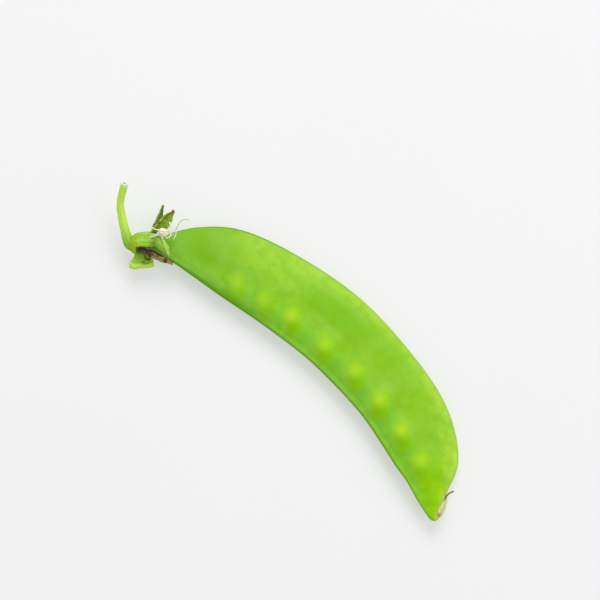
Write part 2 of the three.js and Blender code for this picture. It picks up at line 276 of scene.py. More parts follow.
def length(name, description, millimetres):
    return bpy.props.FloatProperty(
        name=name, description=description, unit="LENGTH", subtype="DISTANCE", min=0.0,
        default=millimetres * MM, precision=5,
    )


def share_of(name, description, value):
    return bpy.props.FloatProperty(
        name=name, description=description, subtype="FACTOR", min=0.0, max=1.0, default=value,
    )


class PodSettings(bpy.types.PropertyGroup):
    thickness: length("Half Thickness", "Half the pod's thickness without its peas", 2.75)
    seam: length("Seam Cord", "Radius of the cord along the straight seam", 0.7)
    back: length("Back Ridge", "Radius of the thin ridge along the rounded back", 0.45)
    groove: length("Seam Groove", "Depth of the groove that runs along the seam cord", 0.1)
    waviness: length("Waviness", "How far the wall wanders in and out", 0.07)
    skin: colour("Skin", "Middle of the pod", 142, 197, 34)
    by_back: colour("By the Back", "Lighter skin along the rounded back", 156, 203, 52)
    # Cooler skin by the seam, made lighter than the middle as painted fill light on the side that
    # turns from the lamps.
    by_seam_fill_light: colour("By the Seam", "Cooler skin between the peas and the seam", 144, 216, 46)
    # The skin's own waxy bloom, also laid as a painted light along the lowest edge of the seam cord.
    bloom: colour("Bloom", "Cool, pale patches of waxy bloom", 152, 212, 96)
    spots: colour("Spots", "Deeper green spots in the skin", 118, 186, 8)
    neck: colour("Neck", "Skin at the neck", 120, 180, 26)
    tip: colour("Tip", "Skin at the tip", 148, 208, 0)
    scar: colour("Scar", "Dull skin by the foot of the style", 206, 204, 96)
    # Painted light, laid where the back and the middle of the pod face the lamps.
    painted_back_light: colour("Back by the Tip", "Yellower back edge towards the tip", 183, 224, 68)
    # Painted highlight: the lightest green, on the upper side of each pea.
    pea: colour("Top of a Pea", "Lightest skin, stretched over a young pea", 182, 228, 50)
    rich: colour("Over a Pea", "Yellower green all over a young pea", 152, 208, 2)
    # Painted shade on the lower side of each pea.
    pea_shade: colour("Foot of a Pea", "Deeper green on the shaded side of a pea", 133, 204, 0)
    # Painted shade in the dips between neighbouring peas.
    hollow: colour("Between Peas", "Cool, dark green between neighbouring peas", 120, 196, 44)
    # The seam cord colours: darker than the skin, as painted shade on the cord's rounded edge.
    seam_edge: colour("Seam Edge", "Cord along the seam, half way along the pod", 122, 170, 64)
    seam_neck: colour("Seam by the Neck", "Dark green cord of the seam nearer the neck", 92, 160, 16)
    seam_tip: colour("Seam by the Tip", "Cord of the seam nearer the tip", 112, 172, 6)
    # The back rim: a painted highlight from half way along, and painted shade by the neck; the pale
    # tone also lies in the grain and veins.
    edge: colour("Back Edge", "Pale rim of the rounded back", 156, 194, 76)
    neck_rim_shade: colour("Back Edge by the Neck", "Olive rim of the back nearer the neck", 108, 146, 46)
    roughness: share_of("Roughness", "Roughness of the waxy skin", 0.42)


class CalyxSettings(bpy.types.PropertyGroup):
    wall: length("Wall", "Thickness of cup and sepals", 0.34)
    rib: length("Rib Height", "How far the ribs of the cup stand out", 0.11)
    crumple: length("Crumple", "How far the dried ends of the sepals are crumpled", 0.3)
    fresh: colour("Fresh", "Living tissue", 152, 210, 44)
    rib_colour: colour("Ribs", "Ribs and midribs", 204, 230, 122)
    # Also laid as painted shade in the dip beside the sepal over the neck.
    shade: colour("Dark Green", "Older, darker sepals", 78, 128, 26)
    withered: colour("Withered", "Dried tissue", 128, 114, 52)
    burnt: colour("Blackened", "The darkest dried creases", 52, 46, 20)
    # Also laid over the flap's face, partly as painted light in the cup's shadow.
    margin: colour("Margin", "Pale rolled margins", 198, 236, 92)
    rust: colour("Join", "Where the stalk meets the cup", 184, 186, 30)


class StalkSettings(bpy.types.PropertyGroup):
    ridge: length("Ridges", "How far the ridges along the stalk stand out", 0.05)
    skin: colour("Skin", "The stalk", 198, 247, 72)
    streak: colour("Streaks", "Pale streaks along the stalk", 218, 248, 120)
    foot: colour("Foot", "The darker foot of the stalk", 126, 184, 42)
    cut: colour("Cut", "The cut end", 232, 234, 206)
    pith: colour("Pith", "The dried middle of the cut end", 168, 158, 130)


class FlowerSettings(bpy.types.PropertyGroup):
    cream: colour("Cream", "Stamen sheath and filaments", 236, 234, 214)
    stain: colour("Stain", "Pinkish brown stains on the sheath", 206, 170, 148)
    green: colour("Green Filament", "The filaments that are still green", 164, 208, 104)
    petal: colour("Petal", "The withered petal", 150, 126, 70)
    pink: colour("Petal End", "The pinkish end of the petal", 202, 162, 104)
    crease: colour("Creases", "Dark creases of the petal", 66, 50, 26)
    style: colour("Style", "The dried style", 252, 248, 206)
    style_side: colour("Style Side", "The tan middle of the style", 204, 172, 100)
    style_end: colour("Style End", "Its grey-brown tip and the scar at its foot", 128, 122, 92)


class StageSettings(bpy.types.PropertyGroup):
    floor: colour("Floor", "The pale surface under the pod", 186, 186, 187)
    cloud: colour("Floor Clouds", "Faint clouds in that surface", 189, 189, 190)
    glow: bpy.props.FloatProperty(
        name="Floor Glow", description="Light that comes up through the floor, as on a light table",
        min=0.0, default=0.41)
    lens: bpy.props.FloatProperty(
        name="Lens", description="Focal length of the camera, looking straight down",
        unit="CAMERA", min=20.0, default=135.0)
    view_width: length("View Width", "Width of the view at the pod's middle height", 133.3)
    turn: bpy.props.FloatProperty(
        name="Turn", description="How far the camera is turned about the upright",
        subtype="ANGLE", unit="ROTATION", default=math.radians(45.97))
    key: bpy.props.FloatProperty(
        name="Key Light", description="Power of the large soft light beyond the view's top",
        unit="POWER", min=0.0, default=9.8)
    room: bpy.props.FloatProperty(
        name="Room Light", description="Strength of the even light from all round",
        min=0.0, default=0.54)


class SnowPeaSettings(bpy.types.PropertyGroup):
    pod: bpy.props.PointerProperty(type=PodSettings, name="Pod")
    calyx: bpy.props.PointerProperty(type=CalyxSettings, name="Calyx")
    stalk: bpy.props.PointerProperty(type=StalkSettings, name="Stalk")
    flower: bpy.props.PointerProperty(type=FlowerSettings, name="Flower")
    stage: bpy.props.PointerProperty(type=StageSettings, name="Stage")


# ---- lines and surfaces --------------------------------------------------

def clamp(value, low=0.0, high=1.0):
    return min(max(value, low), high)


def smooth(low, high, value):
    """0 below low, 1 above high, and an easy rise between."""
    step = clamp((value - low) / (high - low))
    return step * step * (3 - 2 * step)


def bell(value, middle, width):
    """1 at the middle, falling away over about the width."""
    return math.exp(-((value - middle) / width) ** 2)


def between(values, share):
    """The value at a share of the way through an evenly spaced list."""
    place = clamp(share) * (len(values) - 1)
    index = min(int(place), len(values) - 2)
    return values[index] + (values[index + 1] - values[index]) * (place - index)


class Line:
    """A smooth line through evenly spaced points, in millimetres."""

    def __init__(self, points):
        points = [Vector(point) for point in points]
        first, last = 2 * points[0] - points[1], 2 * points[-1] - points[-2]
        self.points = [first, *points, last]

    def at(self, share):
        place = clamp(share) * (len(self.points) - 3)
        index = min(int(place), len(self.points) - 4)
        t = place - index
        before, start, end, after = self.points[index:index + 4]
        leave, arrive = (end - before) / 2, (after - start) / 2
        return (start + t * leave + t * t * (3 * (end - start) - 2 * leave - arrive)
                + t ** 3 * (2 * (start - end) + leave + arrive))

    def along(self, share, step=0.0001):
        return (self.at(share + step) - self.at(share - step)).normalized()

    def frames(self, count):
        """The middle and two crosswise directions at each step, with no needless twist."""
        across = self.along(0).cross(Vector((0, 0, 1))).normalized()
        found = []
        for step in range(count + 1):
            along = self.along(step / count)
            across = (across - along * across.dot(along)).normalized()
            found.append((self.at(step / count), across, along.cross(across)))
        return found


def from_calyx(place):
    """A place in the pod's frame from one in the calyx's own."""
    return CALYX_BASE + CALYX_TURN @ Vector(place)


def wander(place, size, seed=0.0):
    """Smooth noise of -1 to 1 that changes over about the given size in millimetres."""
    return noise.noise(Vector(place) / size + Vector((seed, 2.7 * seed, -1.3 * seed)))


class Sculpt:
    """Collects the parts of one piece and writes it as a finished object."""

    def __init__(self, marks):
        self.bm = bmesh.new()
        self.course = self.bm.verts.layers.float_vector.new("course")
        self.marks = {mark: self.bm.verts.layers.float.new(mark) for mark in marks}

    def place(self, vert, spot, course=(0, 0, 0), **marks):
        vert.co = (spot + NECK_PLACE) * MM
        vert[self.course] = course
        for mark, value in marks.items():
            vert[self.marks[mark]] = value

    def ball(self, sides, rings):
        """A closed skin as (vertex, share from end to end, angle round)."""
        made = bmesh.ops.create_uvsphere(
            self.bm, u_segments=sides, v_segments=rings, radius=1)
        for vert in made["verts"]:
            share = math.acos(clamp(vert.co.z, -1, 1)) / math.pi
            yield vert, share, math.atan2(vert.co.y, vert.co.x)

    def sheet(self, across_steps, along_steps):
        """An open skin as (vertex, place across of -0.5 to 0.5, share along)."""
        made = bmesh.ops.create_grid(
            self.bm, x_segments=across_steps, y_segments=along_steps, size=0.5)
        for vert in made["verts"]:
            yield vert, vert.co.x, vert.co.y + 0.5

    def tube(self, line, radii, sides, rings, ridges, cap=2, **marks):
        """A round bar with flat ends of so many rings. Its ridges and marks are rules."""
        frames = line.frames(rings - 2 * cap)
        for vert, share, angle in self.ball(sides, rings):
            ring = round(share * rings)
            step = clamp(ring - cap, 0, rings - 2 * cap)
            inset = clamp(min(ring, rings - ring) / cap)
            middle, across, up = frames[step]
            body = step / (rings - 2 * cap)
            radius = (between(radii, body) + ridges(body, angle)) * inset
            spot = middle + (across * math.cos(angle) + up * math.sin(angle)) * radius
            values = {mark: rule(body, angle, inset) for mark, rule in marks.items()}
            round_it = Vector((0, math.cos(angle), math.sin(angle))) * 1.2
            self.place(vert, spot, round_it + Vector((body * 20, 0, 0)), **values)

    def finish(self, name, material, node, wall=None, sharp=None):
        """Merges doubles, turns the faces outwards and hands the piece to the frame."""
        bmesh.ops.remove_doubles(self.bm, verts=self.bm.verts, dist=MERGING * MM)
        bmesh.ops.recalc_face_normals(self.bm, faces=self.bm.faces)
        mesh = bpy.data.meshes.new(name)
        self.bm.to_mesh(mesh)
        self.bm.free()
        mesh.shade_smooth()
        if sharp:
            mesh.set_sharp_from_angle(angle=math.radians(sharp))
        mesh.materials.append(material)
        piece = bpy.data.objects.new(name, mesh)
        bpy.context.scene.collection.objects.link(piece)
        if wall:
            shell = piece.modifiers.new("Wall", "SOLIDIFY")
            shell.thickness = wall
            shell.offset = -1
            shell.use_even_offset = False
        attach(piece, "root")
        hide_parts(node)


# ---- materials -----------------------------------------------------------

def link(tree, node, inputs):
    """Feeds a node's inputs from sockets, tones and plain values."""
    for key, value in inputs.items():
        value = getattr(value, "socket", value)
        if isinstance(value, bpy.types.NodeSocket):
            tree.links.new(value, node.inputs[key])
        else:
            node.inputs[key].default_value = value


def add(tree, kind, inputs=None, **settings):
    """Adds a shader node, sets it up and feeds its inputs."""
    node = tree.nodes.new("ShaderNode" + kind)
    node.location.x = NODE_STEP * len(tree.nodes)
    for key, value in settings.items():
        setattr(node, key, value)
    link(tree, node, inputs or {})
    return node


class Tone:
    """A number that changes over the skin: a shader socket that takes plain arithmetic."""

    def __init__(self, tree, socket):
        self.tree = tree
        self.socket = socket

    def calc(self, operation, first, second):
        node = add(self.tree, "Math", {0: first, 1: second}, operation=operation)
        return Tone(self.tree, node.outputs[0])

    def __add__(self, other):
        return self.calc("ADD", self, other)

    def __mul__(self, other):
        return self.calc("MULTIPLY", self, other)

    def __or__(self, other):
        return self.calc("MAXIMUM", self, other)

    def inverse(self):
        return self.calc("DIVIDE", 1.0, self)

    def eased(self, low, high, to_low=0.0, to_high=1.0):
        """This tone eased from one range to another."""
        node = add(self.tree, "MapRange", {
            "Value": self, "From Min": low, "From Max": high,
            "To Min": to_low, "To Max": to_high}, interpolation_type="SMOOTHSTEP")
        return Tone(self.tree, node.outputs["Result"])


def mark(tree, name):
    """A tone that the mesh carries at its vertices."""
    node = add(tree, "Attribute", attribute_name=name, attribute_type="GEOMETRY")
    return Tone(tree, node.outputs["Fac"])


def solid(tint):
    """A colour as a socket takes it. A socket that gives a colour stays as it is."""
    return tint if isinstance(tint, bpy.types.NodeSocket) else (*tint, 1.0)


def coated(tree, body, *coats):
    """A colour with others laid over it in turn, each through its mask."""
    for mask, tint in coats:
        # Inputs 6 and 7 and output 2 of the node are its colours.
        node = add(tree, "Mix", {0: mask, 6: solid(body), 7: solid(tint)}, data_type="RGBA")
        body = node.outputs[2]
    return body


def ramp(tree, tone, stops):
    """Colours that follow a tone, the outermost stops given first."""
    node = add(tree, "ValToRGB", {"Fac": tone})
    elements = node.color_ramp.elements
    for index, (place, rgb) in enumerate(stops):
        element = elements[index] if index < 2 else elements.new(place)
        element.position = place
        element.color = solid(rgb)
    return node.outputs["Color"]


def group(name, inputs, outputs):
    """An empty shader group and its input and output nodes."""
    tree = bpy.data.node_groups.new(name, "ShaderNodeTree")
    for in_out, sockets in (("INPUT", inputs), ("OUTPUT", outputs)):
        for title in sockets:
            kind = "NodeSocketVector" if title == "Vector" else "NodeSocketFloat"
            tree.interface.new_socket(title, in_out=in_out, socket_type=kind)
    return tree, tree.nodes.new("NodeGroupInput").outputs, tree.nodes.new("NodeGroupOutput")


def mottle_group(soft):
    """Cloudy patches, and fine grain on top of them, as masks of 0 to 1."""
    name, detail, low = ("Soft Mottle", 1.0, 0.22) if soft else ("Mottle", 3.0, 0.32)
    if name in bpy.data.node_groups:
        return bpy.data.node_groups[name]
    tree, given, result = group(name, ("Vector", "Size"), ("Patches", "Grain"))
    scale = Tone(tree, given["Size"]).inverse()
    noises = (
        ("Patches", scale, detail, 0.5, low, 1 - low),
        ("Grain", scale * 9.0, 2.0, 0.6, 0.3, 0.7))
    for title, fineness, detail, roughness, low, high in noises:
        node = add(tree, "TexNoise", {
            "Vector": given["Vector"], "Scale": fineness, "Detail": detail,
            "Roughness": roughness})
        link(tree, result, {title: Tone(tree, node.outputs["Fac"]).eased(low, high)})
    return tree


def vein_group():
    """A net of fine veins, drawn out along one direction of the skin."""
    name = "Vein Net"
    if name in bpy.data.node_groups:
        return bpy.data.node_groups[name]
    tree, given, result = group(name, ("Vector", "Slant", "Length", "Width"), ("Veins",))
    bend = add(tree, "TexNoise", {"Vector": given["Vector"], "Scale": 0.35, "Detail": 1.0})
    offset = add(tree, "VectorMath", {0: bend.outputs["Color"], 1: (0.5, 0.5, 0.5)},
                 operation="SUBTRACT")
    bent = add(tree, "VectorMath", {0: offset.outputs[0], 1: (2.2, 2.2, 0.0), 2: given["Vector"]},
               operation="MULTIPLY_ADD")
    turned = add(tree, "VectorRotate", {"Vector": bent.outputs[0], "Angle": given["Slant"]},
                 rotation_type="Z_AXIS")
    narrow = Tone(tree, given["Width"]).inverse()
    stretch = add(tree, "CombineXYZ", {
        "X": Tone(tree, given["Length"]).inverse(), "Y": narrow, "Z": narrow})
    drawn = add(tree, "VectorMath", {0: turned.outputs[0], 1: stretch.outputs[0]},
                operation="MULTIPLY")
    cells = add(tree, "TexVoronoi", {"Vector": drawn.outputs[0], "Scale": 1.0},
                feature="DISTANCE_TO_EDGE")
    veins = Tone(tree, cells.outputs["Distance"]).eased(0.0, 0.12, 1.0, 0.0)
    link(tree, result, {"Veins": veins})
    return tree


def mottle(tree, size, soft=False):
    """The patches and grain of a mottle, its patches some millimetres across."""
    place = add(tree, "TexCoord").outputs["Object"]
    millimetres = add(tree, "VectorMath", {0: place, "Scale": 1 / MM}, operation="SCALE")
    node = add(tree, "Group", node_tree=mottle_group(soft))
    link(tree, node, {"Vector": millimetres.outputs[0], "Size": size})
    return Tone(tree, node.outputs["Patches"]), Tone(tree, node.outputs["Grain"])


def veins_along(tree, length, width, slant=0.0):
    """A net of veins whose meshes have the given length and width along the skin."""
    course = add(tree, "Attribute", attribute_name="course", attribute_type="GEOMETRY")
    node = add(tree, "Group", node_tree=vein_group())
    link(tree, node, {
        "Vector": course.outputs["Vector"], "Slant": slant, "Length": length, "Width": width})
    return Tone(tree, node.outputs["Veins"])


def new_material(name):
    """An empty material and its node tree."""
    material = bpy.data.materials.new(name)
    material.use_nodes = True
    material.node_tree.nodes.clear()
    return material, material.node_tree


def surfaced(
        material, body, roughness, bumps=None, rise=0.0, depth=None, gloss=0.5, glow=0.0):
    """Finishes a material. Depth is the weight, reach and colour of light in the skin."""
    tree = material.node_tree
    shader = add(tree, "BsdfPrincipled", {
        "Base Color": body, "Roughness": roughness, "Specular IOR Level": gloss,
        "Emission Color": (1.0, 1.0, 1.0, 1.0), "Emission Strength": glow})
    add(tree, "OutputMaterial", {"Surface": shader.outputs[0]})
    if bumps:
        relief = add(tree, "Bump", {"Height": bumps, "Distance": rise * MM})
        link(tree, shader, {"Normal": relief.outputs[0]})
    if depth:
        weight, reach, radius = depth
        link(tree, shader, {
            "Subsurface Weight": weight, "Subsurface Scale": reach * MM,
            "Subsurface Radius": radius})
    return material


def pod_material(s):
    """Waxy green skin: cool by the seam, light by the back, yellow-green over the peas, with painted
    highlights on the peas, painted shade at their feet and between them, painted light along the
    back and on the seam side, and painted shade along the seam cord and on the back rim by the neck.
    """
    material, tree = new_material("Pod Skin")
    tones = {name: mark(tree, name) for name in ("across", "share", *PEA_MARKS)}
    masks = {}
    for name, ((first, *limits), *others) in POD_PATCHES.items():
        masks[name] = tones[first].eased(*limits)
        for other, *limits in others:
            masks[name] *= tones[other].eased(*limits)
    clouds, grain = mottle(tree, 6.5, soft=True)
    small = mottle(tree, 2.4, soft=True)[0]
    veins = veins_along(tree, 3.6, 1.1, slant=0.75)
    bloom = clouds * masks["bloom_along"] * (masks["bloom_by_seam"] | masks["bloom_past_neck"])
    # Across the pod: the seam side is lighter as painted fill light.
    body = ramp(tree, tones["across"] * 0.5 + 0.5, (
        (0.28, s.by_seam_fill_light), (0.9, s.by_back), (0.45, s.skin), (0.72, s.skin)))
    # painted shade on the back rim by the neck, a painted highlight further on
    rim = ramp(tree, tones["share"], ((0.3, s.neck_rim_shade), (0.5, s.edge)))
    # painted shade along the seam cord
    cord = ramp(tree, tones["share"], (
        (0.34, s.seam_neck), (0.88, s.seam_tip), (0.46, s.seam_edge), (0.76, s.seam_edge)))
    body = coated(
        tree, body,
        (masks["shaded"], s.spots),
        (masks["by_neck"], s.neck),
        (bloom, s.bloom),
        (masks["tip"], s.tip),
        # painted light where the skin faces the lamps
        (masks["painted_light_by_tip"] | masks["painted_light_by_back"] | masks["lit"], s.painted_back_light),
        (masks["ripe"], s.spots),
        (small.eased(0.3, 1.0, 0.0, 0.4), s.spots),
        # painted shade in the dips between neighbouring peas
        (tones["hollow"] * 0.7, s.hollow),
        (tones["rich"] * 0.95, s.rich),
        # painted shade on the lower side of each pea
        (tones["pea_shade"], s.pea_shade),
        # painted highlight on the upper side of each pea
        (tones["light"] * 0.9, s.pea),
        (masks["rim"], rim),
        # the seam cord, darkened as painted shade
        (masks["broad_cord_shade"] | masks["cord"], cord),
        # painted light along the lowest edge of the seam cord
        (masks["lit_cord"], s.bloom),
        (masks["scar"], s.scar),
        (grain * 0.06, s.edge),
        (veins * 0.06, s.edge))
    roughness = grain.eased(0.0, 1.0, s.roughness - 0.05, s.roughness + 0.07)
    return surfaced(material, body, roughness, veins * 0.4 + grain, 0.01,
                    (0.1, 0.7, LEAF_DEPTH), gloss=0.06)


def calyx_material(s):
    """Ribbed green tissue that dries to brown, with pale margins. Its dark green also lays painted
    shade in the dip beside the sepal over the neck, and its pale margin colour, over the flap's
    face, is partly painted light.
    """
    material, tree = new_material("Calyx")
    clouds, grain = mottle(tree, 1.6)
    veins = veins_along(tree, 4.5, 0.42)
    wither = mark(tree, "wither") * 1.6 + clouds * 0.5
    body = coated(
        tree, s.fresh,
        (mark(tree, "shade"), s.shade),
        (clouds * 0.35, s.shade),
        (mark(tree, "rib") * 0.6, s.rib_colour),
        (veins * 0.35, s.rib_colour),
        (mark(tree, "pale"), s.margin),
        (mark(tree, "rust"), s.rust),
        (wither.eased(0.55, 1.15), s.withered),
        (wither.eased(1.3, 1.85, 0.0, 0.9), s.burnt))
    return surfaced(material, body, 0.6, grain * 0.5 + veins, 0.05,
                    (0.5, 0.8, LEAF_DEPTH), gloss=0.1)


def stalk_material(s):
    """Pale green stalk with streaks along it and a dried cut end."""
    material, tree = new_material("Stalk")
    clouds, grain = mottle(tree, 2.2)
    streaks = veins_along(tree, 7.0, 0.45)
    end = mark(tree, "end")
    body = coated(
        tree, s.skin,
        (streaks * 0.5, s.streak),
        (clouds * 0.3, s.streak),
        (end.eased(0.6, 0.16, 0.0, 0.9), s.foot),
        (end.eased(0.965, 0.99), s.cut),
        (mark(tree, "cut").eased(0.4, 0.9), s.pith))
    return surfaced(material, body, 0.45, grain * 0.5 + streaks, 0.04,
                    (0.12, 0.8, LEAF_DEPTH), gloss=0.2)


def cream_material(s):
    """Dry, papery cream tissue with brownish stains."""
    material, tree = new_material("Stamens")
    clouds, grain = mottle(tree, 0.9)
    stained = clouds.eased(0.55, 1.0) * mark(tree, "stain")
    body = coated(tree, s.cream, (stained, s.stain), (mark(tree, "green"), s.green))
    return surfaced(material, body, 0.6, grain, 0.012, (0.25, 0.4, DRY_DEPTH))


def petal_material(s):
    """A withered petal: brown, pinkish at its end, almost black in its creases."""
    material, tree = new_material("Withered Petal")
    clouds, grain = mottle(tree, 1.1)
    dark = clouds * 0.5 + mark(tree, "crease")
    body = coated(
        tree, s.petal,
        (mark(tree, "end"), s.pink),
        (grain * 0.35, s.crease),
        (dark.eased(0.45, 1.1), s.crease))
    return surfaced(material, body, 0.7, grain, 0.06)


def style_material(s):
    """The dried style: cream at its edges, tan along its middle, grey-brown at its ends."""
    material, tree = new_material("Dried Style")
    clouds, grain = mottle(tree, 0.8)
    body = coated(
        tree, s.style,
        (mark(tree, "stain") * 0.8, s.style_side),
        (clouds * 0.15, s.style_end),
        (mark(tree, "end"), s.style_end))
    return surfaced(material, body, 0.6, grain, 0.04, (0.4, 0.5, STYLE_DEPTH))


def floor_material(s):
    """A pale, even surface that glows a little."""
    material, tree = new_material("Floor")
    body = coated(tree, s.floor, (mottle(tree, 60.0)[0] * 0.25, s.cloud))
    return surfaced(material, body, 0.85, gloss=0.2, glow=s.glow)


# ---- the pod -------------------------------------------------------------

def end_rounding(share):
    """0 at the very ends of the pod, 1 over the rest of its length."""
    neck, tip = clamp(share / NECK_CAP), clamp((1 - share) / TIP_CAP)
    return math.sqrt((1 - (1 - neck) ** 2) * (1 - (1 - tip) ** 2))


def cord_height(distance, radius):
    """Half the thickness of a round cord at a distance in from its outer edge."""
    return math.sqrt(max(radius ** 2 - (distance - radius) ** 2, 0.0))


def wall_height(s, half, across):
    """Half the thickness across the pod, from -1 at the seam to 1 at the back."""
    lens = s.thickness / MM * (half / WIDEST_HALF) ** THINNING
    body = lens * (1 - across ** 2) ** LENS_POWER
    from_seam = (1 + across) * half
    seam = cord_height(from_seam, min(s.seam / MM, 0.8 * half))
    back = cord_height((1 - across) * half, min(s.back / MM, 0.6 * half))
    valley = VALLEY["depth"] * bell(from_seam, VALLEY["place"], VALLEY["width"])
    return (body ** 4 + seam ** 4 + back ** 4) ** 0.25 - valley * clamp(
        half / VALLEY["full_from"])


def pea_height(x, y):
    """How far the peas swell the wall, and how strongly each green lies there: a painted highlight,
    the yellow green over each pea, painted shade at its foot, and painted shade between neighbours.
    """
    height, light, rich, pea_shade, hollow = 0.0, 0.0, 0.0, 0.0, 0.0
    for pea_x, pea_y, rise, strength in PEAS:
        away = Vector((x - pea_x, y - pea_y))
        up, side = away.dot(PEA_UP), away.cross(PEA_UP)
        reach = math.hypot(up / PEA_LONG, side / PEA_WIDE) / PEA_REACH
        height += rise * (1 - clamp(reach) ** 2) ** 2
        ragged = 1 + PEA_RAGGED[0] * wander((x, y, 3), PEA_RAGGED[1])
        rim = math.hypot((up + PEA_LOW) / PEA_HALF[0], side / PEA_HALF[1]) * ragged
        # a painted highlight on the upper side of the pea
        highlight = bell(up, *PEA_HIGHLIGHT[0]) * bell(side, *PEA_HIGHLIGHT[1])
        light = max(light, strength * highlight)
        rich = max(rich, strength * smooth(*PEA_RICH, rim))
        # painted shade on the lower side of the pea
        pea_shade = max(pea_shade, strength * smooth(*PEA_SHADE, rim) * smooth(*PEA_FOOT, up))
    # Painted shade in the dips between neighbouring peas.
    for first, second in zip(PEAS, PEAS[1:]):
        here, there = Vector(first[:2]), Vector(second[:2])
        away = Vector((x, y)) - (here + there) / 2
        forward = (there - here).normalized()
        dark = bell(away.dot(forward), 0, BETWEEN_SHADE_SIZE[0]) * bell(
            away.cross(forward), BETWEEN_SHADE_SHIFT, BETWEEN_SHADE_SIZE[1])
        hollow = max(hollow, dark * min(first[2], second[2], FULL_RISE) / FULL_RISE)
    return height, light, rich, pea_shade, hollow


def pod_skin(s, line, share, angle):
    """A place on the skin, how far across it is, its half width and its pea colouring."""
    middle = line.at(share)
    forward = line.along(share, TURN_STEP)
    forward.z = 0
    forward.normalize()
    rounding = end_rounding(share)
    half = max(middle.z, 0.1)
    across = math.cos(angle)
    groove = s.groove / MM * bell(math.pi - abs(angle), 0, GROOVE_ANGLE) * clamp(half / 4)
    reach = across * half * rounding
    sideways = reach + groove
    x, y = middle.x - forward.y * sideways, middle.y + forward.x * sideways
    swell, *greens = pea_height(x, y)
    side = math.copysign(1, angle)
    drift = sum(part * wander((x, y, layer * side), size) for part, layer, size in DRIFT)
    uneven = (1 - across ** 8) * (swell + s.waviness / MM * drift)
    rise = rounding * wall_height(s, half, across) + uneven
    plane = (REST_HEIGHT + NECK_LIFT * (1 - share) ** BEND_POWER
             + TIP_LIFT * share ** BEND_POWER)
    z = plane - LEAN * reach + side * rise
    z = (z + math.hypot(z, SETTLING)) / 2
    return Vector((x, y, z)), across, half, greens


class SNOWPEA_OT_pod(bpy.types.Operator):
    """Builds the pod: a flat curved shell with a seam cord and a row of pea swellings"""
    bl_idname = "snowpea.pod"
    bl_label = "Pod"

    def execute(self, context):
        s = context.scene.snow_pea.pod
        line = Line(POD_LINE)
        sculpt = Sculpt(("across", "share", *PEA_MARKS))
        for vert, share, angle in sculpt.ball(POD_SIDES, POD_RINGS):
            spot, across, half, greens = pod_skin(s, line, share, angle)
            sculpt.place(
                vert, spot, (share * 100, across * half, 3 * math.sin(angle)),
                across=across, share=share, **dict(zip(PEA_MARKS, greens)))
        sculpt.finish("pod_shell", pod_material(s), "pod")
        return {"FINISHED"}


# ---- the calyx -----------------------------------------------------------

CUP_OUTLINE = Line(CUP_LINE)


def cup_place(s, degrees, share):
    """A place on the outside of the cup, in the calyx's own frame, and its rib there."""
    spot = CUP_OUTLINE.at(share)
    angle = math.radians(degrees)
    out_y, out_z = math.cos(angle), math.sin(angle)
    coarse = max(math.cos(COARSE_RIBS * angle), 0.0) ** 1.5
    fine = math.cos(FINE_RIBS * angle + 3 * wander((spot.x, angle, 0), 1.0))
    rise = s.rib / MM * coarse + FINE_RIB_RISE * fine
    uneven, size = CUP_UNEVEN
    radius = spot.y + clamp(spot.x / 1.2) * rise
    radius += uneven * wander((spot.x, 2 * out_y, 2 * out_z), size)
    radius *= clamp(spot.y / 0.3)
    rib = max(0.6 * coarse, 0.9 * max(fine, 0.0) ** 2)
    return Vector((spot.x, radius * out_y, radius * out_z)), rib


def blade_frame(shape, midrib, share):
    """The midrib, and the directions across the blade and towards its inner face."""
    along = midrib.along(share)
    root, tip = (Vector(way) for way in shape["across"])
    sideways = root.lerp(tip, share)
    sideways = (sideways - along * sideways.dot(along)).normalized()
    return midrib.at(share), sideways, sideways.cross(along)


def blade_place(s, shape, midrib, across, share, seed):
    """A place on a sepal beyond the cup, and how strongly its midrib shows there."""
    middle, sideways, inner = blade_frame(shape, midrib, share)
    width = between(shape["widths"], share) * math.sqrt(max(1 - share ** 7, 0.0))
    ragged = 1 + RAGGED_MARGIN * wander((across * 3, share * 9, seed), 0.8) * abs(2 * across)
    curl = shape["curl"] * (2 * across) ** 2 * (1 - share ** 3)
    midline = bell(across, 0, MIDRIB["width"])
    side_vein = bell(abs(across), SIDE_VEIN["place"], SIDE_VEIN["width"])
    dry = clamp(between(shape["wither"], share) + 0.25 * share)
    crumple = s.crumple / MM * dry * (
        wander((across * 4, share * 7, seed), 0.9)
        + 0.5 * wander((across * 9, share * 15, seed), 0.9))
    lift = curl + crumple - BLADE_SINK
    lift -= MIDRIB["rise"] * midline + SIDE_VEIN["rise"] * side_vein
    spot = middle + sideways * across * width * ragged + inner * lift
    return spot, max(midline, 0.6 * side_vein)


